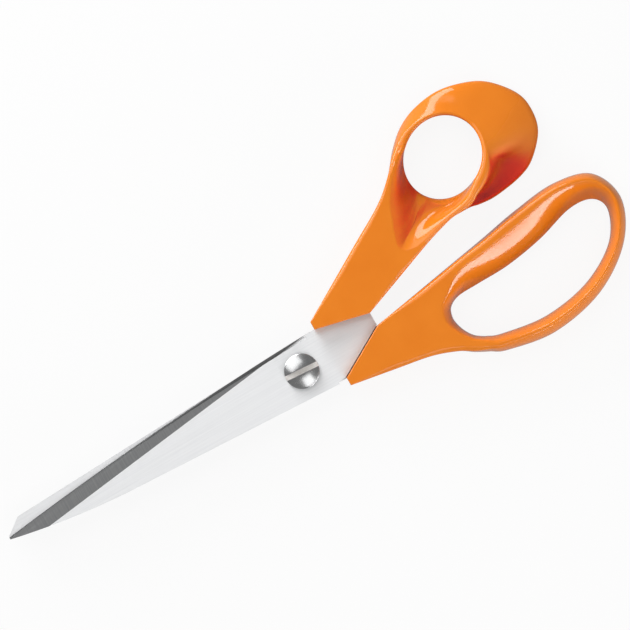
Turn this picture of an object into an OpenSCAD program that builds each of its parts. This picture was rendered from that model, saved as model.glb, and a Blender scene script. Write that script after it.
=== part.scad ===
// Right-handed fabric shears, closed: two ground blades in moulded handles on a shoulder screw.
// X runs to the tips, Y to the finger side, Z up; the origin is on the pivot axis, on the back of the nut.

/* [Blades] */
// Length of both blades from the pivot axis to the tips
blade_l = 101; // [85:1:130]
// Thickness of the blade plates
blade_t = 2.3; // [1.8:0.1:2.6]
// Half of the plates' width at the pivot
plate_half_w = 9; // [8.5:0.1:10]
// Where the sharpened edge starts, behind the pivot axis
heel_x = 6; // [4:0.5:7]
// How far the heel of the finger blade lies inside that of the thumb blade
heel_inset = 0.5; // [0.3:0.1:0.6]
// Bow of the cutting edge out of its chord
edge_bow = 1.3; // [0.8:0.1:1.8]
// Angle of the sharpened edge to the flat of the blade
edge_angle = 65; // [55:1:75]
// How far the cutting edge of each blade crosses the middle line at the tip
edge_overlap = 0.2; // [0:0.05:0.5]
// How far the back of the thumb blade lies inside the back of the finger blade
thumb_back_in = 0.3; // [0:0.1:0.6]
// How much the backs of the blades narrow up to the tips
back_taper = 4.8; // [4:0.1:5.4]
// How much more the back of the thumb blade bends in to make its point
point_bend = 3.4; // [2.5:0.1:3.4]
// Length of the slanted end of the finger blade
clip_l = 5.3; // [3:0.1:9]
// Width that is left at the end of the finger blade
clip_end_w = 0.4; // [0.2:0.1:1]
// Where the broad grind on the outer face begins, from the pivot axis
grind_x = 18; // [14:0.5:26]
// Distance of that start from the blade's middle line
grind_y = 6.2; // [5.8:0.1:6.8]
// Slant of the grind line to the middle line, seen from above
grind_slant = 7.25; // [5:0.25:8]
// Angle of the broad grind to the flat of the blade
grind_angle = 20; // [14:0.5:22]
// Depth by which the inner faces are relieved in front of the ride
ride_relief = 0.05; // [0.02:0.01:0.1]
// Length of the flat ride in front of the pivot axis
ride_l = 13; // [10:0.5:18]

/* [Tangs] */
// Where the plates end behind the pivot axis
plate_end_x = 26.4; // [25:0.1:28]
// Length of the tangs behind the pivot axis
tang_l = 42; // [36:0.5:44]
// Width of the tangs near their ends
tang_w = 8.5; // [6:0.1:10]
// Diameter of the locking holes in the tangs
lock_hole_d = 4.4; // [3:0.1:5]

/* [Pivot] */
// Diameter of the domed screw head
head_d = 10.6; // [9.6:0.1:12]
// Height of the screw head
head_h = 1.9; // [1.5:0.1:2.4]
// Height of the straight rim of the head
head_rim_h = 0.5; // [0.3:0.1:0.8]
// Width of the screwdriver slot
slot_w = 1.5; // [1:0.1:2]
// Depth of the screwdriver slot
slot_depth = 1.1; // [0.7:0.1:1.4]
// Turn of the slot against the blades
slot_turn = -4; // [-90:1:90]
// Diameter of the smooth shoulder that the thumb blade turns on
shoulder_d = 7; // [6:0.1:8]
// Diameter of the threaded end
thread_d = 5; // [4:0.1:5.4]
// Room between the shoulder and the bore that turns on it
run_gap = 0.04; // [0.02:0.01:0.1]
// Room round the threaded end in its holes
thread_gap = 0.05; // [0.03:0.01:0.1]
// Diameter of the spring washer
washer_d = 10; // [9:0.1:12]
// Thickness of the spring washer
washer_t = 0.4; // [0.3:0.05:0.6]
// Width of the nut across its flats
nut_w = 8; // [7.6:0.1:10]
// Height of the nut
nut_h = 2.7; // [2.2:0.1:3]
// How flat the bevel on the nut's corners lies: run of the bevel for each unit of height
nut_bevel = 1.7; // [1:0.1:2]
// Outer diameter of the locking ring in the nut
lock_ring_d = 6.6; // [6.2:0.1:7]
// Thickness of the locking ring
lock_ring_t = 0.8; // [0.6:0.1:1]
// How far the locking ring and the screw end lie inside the nut's back
nut_recess = 0.15; // [0.1:0.05:0.3]

/* [Handles] */
// Thickness of the handle shanks
handle_h = 10; // [9:0.1:11]
// Rounding of the handles' long edges
edge_r = 1.4; // [0.8:0.1:1.8]
// Rounding of the handles' low edges
low_r = 1.3; // [0.8:0.1:1.6]
// Rounding of the shoulder edges next to the blades
shoulder_r = 0.4; // [0.2:0.1:0.6]
// Length along the shanks over which the shoulder rounding grows to the full rounding
shoulder_blend = 18; // [10:1:24]
// Width of the small square faces at the front of the handles
front_w = 2.6; // [1.6:0.1:3]
// Where the thumb handle starts behind the pivot axis
thumb_front_x = 9.5; // [9.2:0.1:11]
// Where the finger handle starts behind the pivot axis
finger_front_x = 10.7; // [10:0.1:12]
// Room between each handle's shoulder and the other blade, closed
stop_gap = 0.3; // [0.2:0.05:0.6]

/* [Thumb ring] */
// Mean diameter of the thumb hole, seen from above
thumb_hole_d = 24.2; // [22:0.2:28]
// How far the hole's long half exceeds its mean radius, because the ring is tilted
thumb_oval = 0.6; // [0:0.1:1]
// Direction of the hole's long axis
thumb_turn = 36; // [20:1:50]
// Place of the thumb hole behind the pivot axis
thumb_x = 68.6; // [66:0.1:76]
// Place of the thumb hole beside the middle line
thumb_y = 34.8; // [32:0.1:38]
// How far the low lip stands out behind the hole
flare_reach = 18.3; // [14:0.1:21]
// Thickness of the low lip
lip_w = 4; // [3:0.1:5]
// Width of the rim behind the hole
rim_w = 1.6; // [1.4:0.1:2]
// How far the high side of the rim stands over the shanks
rim_rise = 2; // [1:0.1:3]
// How far the low side of the rim lies under the top of the shanks
rim_drop = 3.2; // [1:0.1:3.6]
// Length of the scoop that leads from the shank into the hole
scoop_l = 16.6; // [12:0.2:18]

/* [Finger ring] */
// Length of the finger hole
finger_hole_l = 55.7; // [52:0.5:60]
// Width of the finger hole at its widest
finger_hole_w = 19; // [17:0.2:22]
// Place of the middle of the finger hole behind the pivot axis
finger_x = 75.8; // [74:0.1:80]
// Place of the middle of the finger hole beside the middle line
finger_y = 9.8; // [9:0.1:11]
// Width of the upper bar, which the palm side of the fingers presses
upper_bar_w = 11.4; // [9:0.1:13]
// Width of the lower bar
lower_bar_w = 5.6; // [5:0.1:7]
// Width of the bar at the far end
end_bar_w = 5.4; // [5:0.1:7]
// How far the upper bar slopes down into the hole
bar_slope = 7.2; // [5:0.1:7.6]
// Rounding at the foot of that slope
bar_foot_r = 2; // [1.4:0.1:2.4]
// How far both sides of the lower bar slope down from its crest
ridge_slope = 2; // [1.4:0.1:2.2]
// Rounding of the crest's edges
ridge_r = 1.2; // [0.8:0.1:1.4]
// Rounding of the hole's upper edge at the shank and along the upper bar
mouth_r = 2; // [1.4:0.1:2.4]

/* [Hidden] */
$fn = 96;
eps = 0.01;

// Heights: the blades meet at ride_z, and the handles lie evenly about it.
ride_z = nut_h + blade_t;
head_z = ride_z + blade_t + washer_t;
shank_z = ride_z - handle_h / 2;

// Shoulder corners of the thumb handle (A, B, C) and of the finger handle (D, E, F).
thumb_a = [-thumb_front_x, 0.1 - plate_half_w - front_w];
thumb_b = [-thumb_front_x, 0.1 - plate_half_w];
thumb_c = [-plate_end_x, -5];
finger_d = [-plate_end_x - 0.2, -0.7];
finger_e = [-finger_front_x, plate_half_w - 0.6];
finger_f = [-finger_front_x, plate_half_w - 0.6 + front_w];

thumb_mid = [-thumb_x, -thumb_y];
thumb_r = thumb_hole_d / 2;
finger_mid = [-finger_x, finger_y];

// Cutting edge: an arc from the heel, at half width w, to just across the middle line at the tip.
thumb_heel_w = plate_half_w;
finger_heel_w = plate_half_w - heel_inset;
edge_tip = [blade_l, -edge_overlap];
function edge_heel(w) = [-heel_x, -w];
function edge_arc_r(w) = norm(edge_tip - edge_heel(w)) ^ 2 / (8 * edge_bow) + edge_bow / 2;
function edge_centre(w) =
    let (chord = unit(edge_tip - edge_heel(w)))
    (edge_heel(w) + edge_tip) / 2 + [-chord.y, chord.x] * (edge_arc_r(w) - edge_bow);

function clamp01(x) = max(0, min(1, x));
function ease(a, b, x) = let (u = clamp01((x - a) / (b - a))) u * u * (3 - 2 * u);
function hump(x, mid, half) =
    let (d = abs((x - mid + 540) % 360 - 180) / half)
    d >= 1 ? 0 : (1 + cos(180 * d)) / 2;
function polar(r, a) = r * [cos(a), sin(a)];
function unit(v) = v / norm(v);
function mirror_y(points) = [for (p = points) [p.x, -p.y]];

// Smooth open curve through key points of any dimension, without its last point.
function curve_at(p0, p1, p2, p3, u) =
    (2 * p1 + (p2 - p0) * u + (2 * p0 - 5 * p1 + 4 * p2 - p3) * u ^ 2
     + (3 * p1 - p0 - 3 * p2 + p3) * u ^ 3) / 2;
function curve(keys, steps) =
    let (last = len(keys) - 1)
    [for (i = [0 : last - 1]) for (s = [0 : steps - 1])
        curve_at(keys[max(i - 1, 0)], keys[i], keys[i + 1], keys[min(i + 2, last)], s / steps)];
function line(a, b, steps) = [for (s = [0 : steps - 1]) a + (b - a) * s / steps];

// Outward normals of a closed outline that runs anticlockwise, lengthened at its corners.
function normals(p) =
    let (n = len(p))
    [for (i = [0 : n - 1])
        let (a = unit(p[i] - p[(i + n - 1) % n]), b = unit(p[(i + 1) % n] - p[i]))
        let (m = [a.y + b.y, -a.x - b.x])
        m * min(2 / (m * m), 1.5 / norm(m))];

// Smooth closed curve through key points, with a number of steps for each stretch.
function ring_curve(keys, steps) =
    let (n = len(keys))
    [for (i = [0 : n - 1]) for (s = [0 : steps[i] - 1])
        curve_at(keys[(i + n - 1) % n], keys[i], keys[(i + 1) % n], keys[(i + 2) % n], s / steps[i])];

// Smooth value at x through keys of place and value, held level beyond the first and the last.
function key_before(keys, x, i = 0) =
    i >= len(keys) - 2 || x < keys[i + 1][0] ? i : key_before(keys, x, i + 1);
function key_rate(keys, i) = (keys[i + 1][1] - keys[i][1]) / (keys[i + 1][0] - keys[i][0]);
function key_slope(keys, i) =
    i == 0 || i == len(keys) - 1 ? 0
    : let (a = key_rate(keys, i - 1), b = key_rate(keys, i)) a * b <= 0 ? 0 : 2 * a * b / (a + b);
function through(keys, x) =
    let (t = max(keys[0][0], min(keys[len(keys) - 1][0], x)), i = key_before(keys, t))
    let (step = keys[i + 1][0] - keys[i][0], u = (t - keys[i][0]) / step)
    keys[i][1] * (2 * u ^ 3 - 3 * u ^ 2 + 1) + keys[i + 1][1] * (3 * u ^ 2 - 2 * u ^ 3)
    + step * key_slope(keys, i) * (u ^ 3 - 2 * u ^ 2 + u) + step * key_slope(keys, i + 1) * (u ^ 3 - u ^ 2);

// Side of a handle section: a rounded top corner, a smooth wall and a rounded low corner.
// The leans are those of the wall from the upright, and pull says how far it holds them.
arc_steps = 3;
wall_steps = 4;
function tip3(p, z) = [p.x, p.y, z];
function corner(p, n, r, z, a0, a1) =
    [for (s = [0 : arc_steps])
        let (a = a0 + (a1 - a0) * s / arc_steps)
        tip3(p - n * r * (1 - cos(a)), z + r * sin(a))];
function wall(p, q, t0, t1, pull) =
    let (d = norm(q - p) * pull)
    [for (s = [1 : wall_steps - 1])
        let (u = s / wall_steps)
        p * (2 * u ^ 3 - 3 * u ^ 2 + 1) + q * (3 * u ^ 2 - 2 * u ^ 3)
        + d * t0 * (u ^ 3 - 2 * u ^ 2 + u) + d * t1 * (u ^ 3 - u ^ 2)];
function slope_dir(n, a) = tip3(unit(n) * sin(a), -cos(a));
function side(p, np, rp, zp, q, nq, rq, zq, a_top, a_low, pull) =
    let (upper = corner(p, np, rp, zp - rp, 90, a_top))
    let (lower = corner(q, nq, rq, zq + rq, a_low, -90))
    concat(upper, wall(upper[arc_steps], lower[0], slope_dir(np, a_top), slope_dir(nq, a_low), pull), lower);
function sides(top, r_top, z_top, low, r_low, z_low, a_top, a_low, pull, out) =
    let (n_top = out * normals(top), n_low = out * normals(low))
    [for (i = [0 : len(top) - 1])
        side(top[i], n_top[i], r_top[i], z_top[i], low[i], n_low[i], r_low[i], z_low[i], a_top[i], a_low[i], pull[i])];
function reverse(l) = [for (i = [len(l) - 1 : -1 : 0]) l[i]];
function level(count, value) = [for (i = [1 : count]) value];

// Level width between two loops, square to the outer one.
function clear_width(outer, inner) =
    let (n = normals(outer))
    [for (i = [0 : len(outer) - 1]) abs((outer[i] - inner[i]) * unit(n[i]))];

// Edge rounding that starts small at the shoulder and grows to its full size along the shank.
function shoulder_round(outline, front, full) =
    let (n = len(outline))
    let (along = [for (i = 0, l = 0; i <= n; l = l + norm(outline[(i + 1) % n] - outline[i % n]), i = i + 1) l])
    [for (i = [0 : n - 1])
        i <= front ? shoulder_r
        : shoulder_r + (full - shoulder_r) * ease(0, shoulder_blend, min(along[i] - along[front], along[n] - along[i]))];

// A ring handle from the outer and the inner sides of its sections.
module ring_handle(outer, inner) {
    n = len(outer);
    m = len(outer[0]) + len(inner[0]);
    polyhedron(
        points = [for (i = [0 : n - 1]) each concat(outer[i], reverse(inner[i]))],
        faces = [for (i = [0 : n - 1]) for (j = [0 : m - 1]) for (half = [0, 1])
            let (a = i * m + j, b = (i + 1) % n * m + j)
            let (c = (i + 1) % n * m + (j + 1) % m, d = i * m + (j + 1) % m)
            half == 0 ? [a, b, c] : [a, c, d]]);
}

// Thumb ring: each list gives a value by the direction from the middle of the hole.
// Outer edge, as a share of the flare's reach
thumb_reach = [[50, 0.79], [60, 0.49], [70, 0.34], [80, 0.29], [90, 0.28], [100, 0.33], [115, 0.43], [136, 0.65],
               [149, 0.81], [166, 0.97], [180, 1], [192, 0.95], [209, 0.79], [224, 0.62], [245, 0.43], [270, 0.27],
               [295, 0.19], [322, 0.17], [350, 0.3]];
// Width of the rim between the hole and the flare, as a share
rim_keys = [[80, 2.9], [100, 2.3], [120, 2.1], [135, 1.8], [150, 1.4], [170, 1], [260, 0.95], [320, 1.05]];
// Rounding of the rim's inner edge
rim_round = [[60, 1.4], [100, 2.2], [130, 2], [150, 1.5], [175, 0.8], [260, 0.8], [320, 1], [345, 1.4]];
// Length of the scoop, as a share
scoop_keys = [[-45, 0], [-28, 0.06], [-12, 0.18], [5, 0.35], [15, 0.5], [23, 0.65], [30, 0.84], [36, 1], [41, 0.92],
              [46, 0.76], [54, 0.5], [67, 0.29], [80, 0.18], [95, 0.1], [106, 0.04], [116, 0]];
// Lean of the flare and of the scoop from the upright, at their top and at their foot
flare_top = [[78, 0], [95, 2], [130, 5], [143, 20], [151, 46], [159, 64], [170, 70], [205, 68], [225, 64], [238, 58],
             [250, 53], [265, 48], [285, 36], [300, 20], [312, 9], [330, 0]];
flare_foot = [[80, 0], [93, 60], [106, 82], [140, 84], [160, 76], [180, 68], [205, 60], [225, 55], [238, 51],
              [250, 49], [265, 42], [285, 20], [300, 8], [312, 0]];
scoop_top = [[-45, 0], [-20, 40], [0, 60], [24, 62], [36, 66], [60, 66], [85, 44], [103, 14], [116, 0]];
scoop_foot = [[-45, 0], [-20, 24], [0, 36], [20, 46], [32, 62], [42, 78], [60, 76], [85, 42], [103, 8], [116, 0]];
// How strongly the flare is hollowed
flare_dip = [[84, 1], [104, 1.6], [138, 1.7], [160, 1]];
// Rounding of the outer lip, its height over the table and the rounding of the scoop's foot
lip_round = [[84, 1.3], [105, 1.2], [140, 1.3], [165, 2.1], [205, 2], [232, 1.8], [262, 1.3]];
lip_lift = [[84, 0], [135, 0], [165, 1], [205, 0.8], [240, 1.2], [260, 1.2], [285, 0.4], [300, 0]];
scoop_round = [[-28, 1.2], [10, 1.2], [25, 1.6], [40, 2.4], [66, 2.4], [95, 1.7], [112, 1.3]];

// Outline of the thumb handle: square front, shoulder, inner edge of the shank, ring and outer edge.
thumb_ring = [for (k = thumb_reach) thumb_mid + polar(thumb_r + flare_reach * k[1], k[0])];
thumb_heel = thumb_mid + [24.2, 2.8];
thumb_face = line(thumb_a, thumb_b, 2);
thumb_shoulder = line(thumb_b, thumb_c, 6);
thumb_outline = concat(
    thumb_face,
    thumb_shoulder,
    curve(concat([thumb_c, (thumb_c + thumb_ring[0]) / 2], thumb_ring,
                 [thumb_heel, (2 * thumb_heel + thumb_a) / 3, (thumb_heel + 2 * thumb_a) / 3, thumb_a]), 4));
thumb_front = len(thumb_face) + len(thumb_shoulder);
thumb_angle = [for (p = thumb_outline) let (d = p - thumb_mid) (atan2(d.y, d.x) + 360) % 360];

module thumb_shell() {
    n = len(thumb_outline);
    index = [0 : n - 1];
    span = [for (p = thumb_outline) norm(p - thumb_mid)];
    turn = [for (a = thumb_angle) a > 305 ? a - 360 : a];
    edge = [for (a = thumb_angle) thumb_r + thumb_oval * cos(2 * (a - thumb_turn))];
    flare = [for (a = thumb_angle) ease(78, 104, a) * (1 - ease(270, 345, a))];
    under = [for (a = thumb_angle) ease(116, 152, a) * (1 - ease(265, 315, a))];
    rim = [for (i = index) edge[i] + rim_w * through(rim_keys, thumb_angle[i])];
    top_out = [for (i = index) thumb_mid + polar(span[i] + flare[i] * (rim[i] - span[i]), thumb_angle[i])];
    top_in = [for (i = index) thumb_mid + polar(edge[i] + scoop_l * through(scoop_keys, turn[i]), thumb_angle[i])];
    low_in = [for (i = index)
        thumb_mid + polar(edge[i] + under[i] * max(0, span[i] - lip_w - edge[i]), thumb_angle[i])];
    top_z = [for (a = thumb_angle)
        shank_z + handle_h + rim_rise * hump(a, 135, 115) - rim_drop * hump(a, 285, 75)];
    room = clear_width(top_out, top_in);
    edge_round = shoulder_round(thumb_outline, thumb_front, edge_r);
    foot_round = shoulder_round(thumb_outline, thumb_front, low_r);
    r_in = [for (i = index) min(through(rim_round, thumb_angle[i]), 0.5 * room[i])];
    r_out = [for (i = index) min(edge_round[i], 0.88 * room[i] - r_in[i])];
    r_lip = [for (i = index) max(foot_round[i], flare[i] * through(lip_round, thumb_angle[i]))];
    chord = [for (i = index) atan2((norm(top_in[i] - thumb_mid) - norm(low_in[i] - thumb_mid)), top_z[i] - shank_z)];
    ring_handle(
        sides(top_out, r_out, top_z,
              thumb_outline, r_lip, [for (a = thumb_angle) shank_z + through(lip_lift, a)],
              [for (a = thumb_angle) through(flare_top, a)],
              [for (a = thumb_angle) through(flare_foot, a)],
              [for (a = thumb_angle) through(flare_dip, a)], 1),
        sides(top_in, r_in, top_z,
              low_in, [for (a = turn) through(scoop_round, a)], level(n, shank_z),
              [for (i = index) through(scoop_top, turn[i]) * (1 - under[i]) + chord[i] * under[i]],
              [for (i = index) through(scoop_foot, turn[i]) * (1 - under[i]) + chord[i] * under[i]],
              level(n, 1), -1));
}

// Finger ring: hole points in half lengths and half widths, each with the section of its bar.
function hole_at(u, v) = finger_mid + [u * finger_hole_l / 2, v * finger_hole_w / 2];
function row(hole, outer, slope_in, slope_out = 0, ridge = 0) =
    [hole.x, hole.y, outer.x, outer.y, slope_in, slope_out, ridge];
// [hole u, hole v, direction of the section, bar width, slope into the hole, slope outward, share of the crest]
finger_bars = [
    [0.89, 0.74, 55, lower_bar_w - 0.6, 1, 0.4, 0.2],
    [0.8, 0.905, 72, lower_bar_w - 0.8, 0.6 * ridge_slope, 0.55 * ridge_slope, 0.6],
    [0.63, 1.085, 78, lower_bar_w - 0.3, 0.9 * ridge_slope, 0.9 * ridge_slope, 1],
    [0.13, 1.285, 90, lower_bar_w, ridge_slope, ridge_slope, 1],
    [-0.41, 1.015, 116, lower_bar_w - 0.5, ridge_slope, ridge_slope, 1],
    [-0.835, 0.28, 152, end_bar_w - 0.8, ridge_slope, 0.9 * ridge_slope, 1],
    [-1.01, -0.66, 192, end_bar_w, 1.3 * ridge_slope, 0.8 * ridge_slope, 0.8],
    [-0.92, -1.2, 241, end_bar_w + 2.3, 0.65 * bar_slope, 0.8 * ridge_slope, 0.5],
    [-0.65, -1.285, 272, upper_bar_w - 2.3, 0.8 * bar_slope, 1.2, 0.3],
    [-0.22, -0.92, 282, upper_bar_w, bar_slope, 0.8, 0.2],
    [0.22, -0.7, 285, upper_bar_w - 0.2, bar_slope, 0.5, 0.1],
    [0.6, -0.665, 292, upper_bar_w - 1.5, 0.85 * bar_slope, 0.2, 0]];
finger_loop = [for (b = finger_bars)
    let (h = hole_at(b[0], b[1]))
    row(h, h + polar(b[3], b[2]), b[4], b[5], b[6])];
finger_keys = concat(
    [row(hole_at(0.975, -0.45), finger_d, 2.4),
     row(hole_at(1.018, -0.16), finger_e, 2),
     row(hole_at(1.015, 0.07), finger_f, 1.8),
     row(hole_at(0.99, 0.32), finger_f + [-14, 2.4], 1.4),
     row(hole_at(0.955, 0.52), finger_f + [-25.3, 4.4], 1.2),
     row(hole_at(0.925, 0.64), finger_f + [-33, 7.1], 1)],
    finger_loop,
    [row(hole_at(0.845, -0.635), finger_d + [-9, -1.5], 0.5 * bar_slope)]);
shoulder_steps = 6;
across_steps = 2;
bar_steps = 5;
finger_front = shoulder_steps + across_steps;
finger_rows = ring_curve(
    finger_keys, concat([shoulder_steps, across_steps], level(len(finger_keys) - 2, bar_steps)));
finger_outline = concat(
    line(finger_d, finger_e, shoulder_steps),
    line(finger_e, finger_f, across_steps),
    curve(concat([for (i = [2 : len(finger_keys) - 1]) [finger_keys[i][2], finger_keys[i][3]]], [finger_d]), bar_steps));
// Lean of the bars' slopes from the upright, for a gentle chamfer and for the broad slope of the upper bar
chamfer_lean = 32;
bar_top_lean = 60;
bar_foot_lean = 37;

module finger_shell() {
    n = len(finger_rows);
    index = [0 : n - 1];
    hole = [for (r = finger_rows) [r[0], r[1]]];
    out_dir = normals(finger_outline);
    broad = [for (r = finger_rows) ease(ridge_slope, 0.7 * bar_slope, r[4])];
    crest = [for (r = finger_rows) clamp01(r[6])];
    top_in = [for (i = index) hole[i] + finger_rows[i][4] * unit(finger_outline[i] - hole[i])];
    top_out = [for (i = index) finger_outline[i] - finger_rows[i][5] * unit(out_dir[i])];
    top_z = level(n, shank_z + handle_h);
    low_z = level(n, shank_z);
    room = clear_width(top_out, top_in);
    edge_round = shoulder_round(finger_outline, finger_front, edge_r + 0.4);
    r_in = [for (i = index) min(mouth_r + crest[i] * (ridge_r - mouth_r), 0.44 * room[i])];
    r_out = [for (i = index) min(edge_round[i] + crest[i] * (ridge_r - edge_round[i]), 0.44 * room[i])];
    ring_handle(
        sides(top_out, r_out, top_z,
              finger_outline, shoulder_round(finger_outline, finger_front, low_r), low_z,
              [for (r = finger_rows) chamfer_lean * ease(0.2, 1.8, r[5])], level(n, 0), level(n, 1), 1),
        sides(top_in, r_in, top_z,
              hole, [for (b = broad) low_r + (bar_foot_r - low_r) * b], low_z,
              [for (i = index)
                  chamfer_lean * ease(0.2, 1.8, finger_rows[i][4]) + (bar_top_lean - chamfer_lean) * broad[i]],
              [for (b = broad) bar_foot_lean * b], level(n, 1), -1));
}

// Blade in its own frame: inner face down, cutting edge at -Y, back at +Y.
function thumb_back(x) =
    plate_half_w - thumb_back_in - back_taper * x / blade_l - point_bend * max(0, x / blade_l - 0.6) ^ 2 / 0.16;
thumb_back_points = [for (s = [10 : -1 : 0]) let (x = blade_l * (0.6 + 0.04 * s)) [x, thumb_back(x)]];
clip_x = blade_l - clip_l;
finger_back_points = [[blade_l, clip_end_w], [clip_x, plate_half_w - back_taper * clip_x / blade_l]];

module edge_cone(heel_w) {
    r = edge_arc_r(heel_w);
    translate(edge_centre(heel_w))
        cylinder(h = blade_t, r1 = r, r2 = r - blade_t / tan(edge_angle), $fn = 720);
}

module broad_grind() {
    translate([grind_x, -grind_y, blade_t])
        rotate([0, 0, grind_slant])
            rotate([grind_angle, 0, 0])
                translate([-blade_l, -blade_l / 2, 0])
                    cube([2.5 * blade_l, blade_l / 2, blade_t * 3]);
}

module ground_blade(back_points, heel_w) {
    start_x = -heel_x - 2;
    difference() {
        intersection() {
            linear_extrude(blade_t)
                polygon(concat([[start_x, -2 * plate_half_w], [blade_l, -plate_half_w]],
                               back_points, [[start_x, plate_half_w]]));
            edge_cone(heel_w);
        }
        broad_grind();
        translate([ride_l, -2 * plate_half_w, -eps])
            cube([blade_l, 4 * plate_half_w, ride_relief + eps]);
    }
}

// Plates and tangs, seen from the top, with the room to the other handle's shoulder.
function beside(p, q, gap) = let (d = unit(q - p)) gap * [-d.y, d.x];
thumb_stop = beside(finger_e, finger_d, stop_gap);
finger_stop = beside(thumb_c, thumb_b, stop_gap);
thumb_axis = unit([-0.92, -0.39]);
thumb_across = [-thumb_axis.y, thumb_axis.x];
thumb_tang_end = [-tang_l, -18.8];
finger_tang_end = [-tang_l + 1.5, 7.4];

thumb_plate = [
    [-heel_x, plate_half_w - thumb_back_in],
    finger_e + thumb_stop,
    finger_d + thumb_stop,
    [-plate_end_x, -7.8],
    thumb_tang_end - thumb_across * tang_w / 2,
    thumb_tang_end + thumb_axis * 1.6 - thumb_across * tang_w / 4,
    thumb_tang_end + thumb_axis * 1.6 + thumb_across * tang_w / 4,
    thumb_tang_end + thumb_across * tang_w / 2,
    [-20, -plate_half_w - 5.2],
    [thumb_b.x, -thumb_heel_w],
    edge_heel(thumb_heel_w)];

finger_plate = [
    [-heel_x, -plate_half_w],
    thumb_b + finger_stop,
    thumb_c + finger_stop,
    [-plate_end_x + 0.2, 1.8],
    finger_tang_end + [0, -tang_w / 2],
    finger_tang_end + [-1.6, -tang_w / 4],
    finger_tang_end + [-1.6, tang_w / 4],
    finger_tang_end + [0, tang_w / 2],
    [-20, plate_half_w + 1.4],
    [finger_e.x, finger_heel_w],
    [-heel_x, finger_heel_w]];

thumb_locks = [thumb_tang_end - 3.6 * thumb_axis, thumb_tang_end - 15 * thumb_axis];
finger_locks = [finger_tang_end + [3.6, 0], finger_tang_end + [15, 0]];

module plate(points, locks) {
    linear_extrude(blade_t)
        difference() {
            polygon(points);
            for (p = locks) translate(p) circle(d = lock_hole_d);
        }
}

module thumb_steel() {
    translate([0, 0, ride_z])
        union() {
            ground_blade(thumb_back_points, thumb_heel_w);
            plate(thumb_plate, thumb_locks);
        }
}

module finger_steel() {
    translate([0, 0, ride_z])
        rotate([180, 0, 0])
            union() {
                ground_blade(finger_back_points, finger_heel_w);
                plate(mirror_y(finger_plate), mirror_y(finger_locks));
            }
}

module bore(d) {
    translate([0, 0, -eps])
        cylinder(d = d, h = handle_h + head_h);
}

module thumb_blade() {
    color([0.82, 0.83, 0.83])
        difference() {
            thumb_steel();
            bore(shoulder_d + 2 * run_gap);
        }
}

module finger_blade() {
    color([0.76, 0.77, 0.77])
        difference() {
            finger_steel();
            bore(thread_d + 2 * thread_gap);
        }
}

module thumb_handle() {
    color([0.93, 0.5, 0.14])
        difference() {
            thumb_shell();
            translate([0, 0, ride_z])
                plate(thumb_plate, thumb_locks);
        }
}

module finger_handle() {
    color([0.93, 0.5, 0.14])
        difference() {
            finger_shell();
            translate([0, 0, ride_z - blade_t])
                plate(finger_plate, finger_locks);
        }
}

module pivot_screw() {
    dome_h = head_h - head_rim_h;
    dome_r = (head_d ^ 2 / 4 + dome_h ^ 2) / (2 * dome_h);
    color([0.72, 0.73, 0.74])
        difference() {
            union() {
                intersection() {
                    translate([0, 0, head_z + head_h - dome_r])
                        sphere(r = dome_r, $fn = 128);
                    translate([0, 0, head_z])
                        cylinder(d = head_d, h = head_h + 1);
                }
                translate([0, 0, ride_z])
                    cylinder(d = shoulder_d, h = head_z - ride_z + eps);
                translate([0, 0, nut_recess])
                    cylinder(d = thread_d, h = ride_z - nut_recess + eps);
            }
            rotate([0, 0, slot_turn])
                translate([-head_d, -slot_w / 2, head_z + head_h - slot_depth])
                    cube([2 * head_d, slot_w, head_h]);
        }
}

module spring_washer() {
    color([0.68, 0.69, 0.7])
        translate([0, 0, ride_z + blade_t])
            difference() {
                cylinder(d = washer_d, h = washer_t);
                translate([0, 0, -eps])
                    cylinder(d = shoulder_d + 2 * run_gap, h = washer_t + 2 * eps);
            }
}

module pivot_nut() {
    color([0.66, 0.67, 0.68])
        difference() {
            intersection() {
                cylinder(d = nut_w / cos(30), h = nut_h, $fn = 6);
                cylinder(r1 = nut_w / 2, r2 = nut_w / 2 + nut_h * nut_bevel, h = nut_h);
            }
            bore(thread_d + 2 * thread_gap);
            translate([0, 0, -eps])
                cylinder(d = lock_ring_d, h = nut_recess + lock_ring_t + eps);
        }
}

module lock_ring() {
    color([0.9, 0.89, 0.85])
        translate([0, 0, nut_recess])
            difference() {
                cylinder(d = lock_ring_d, h = lock_ring_t);
                translate([0, 0, -eps])
                    cylinder(d = thread_d, h = lock_ring_t + 2 * eps);
            }
}

thumb_blade();
finger_blade();
thumb_handle();
finger_handle();
pivot_screw();
spring_washer();
pivot_nut();
lock_ring();
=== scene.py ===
"""Looks of the fabric shears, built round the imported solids.

The handles are fine lofts of the moulded shells. The steel and nylon pieces are the solids
with softly broken edges and their finishes. The numbers of the handles are in millimetres and
degrees until a mesh is made; those of the materials, the camera and the lamps are in metres.
"""

import math

import bpy
import numpy as np
from mathutils import Matrix, Vector
from mathutils.geometry import delaunay_2d_cdt


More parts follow.
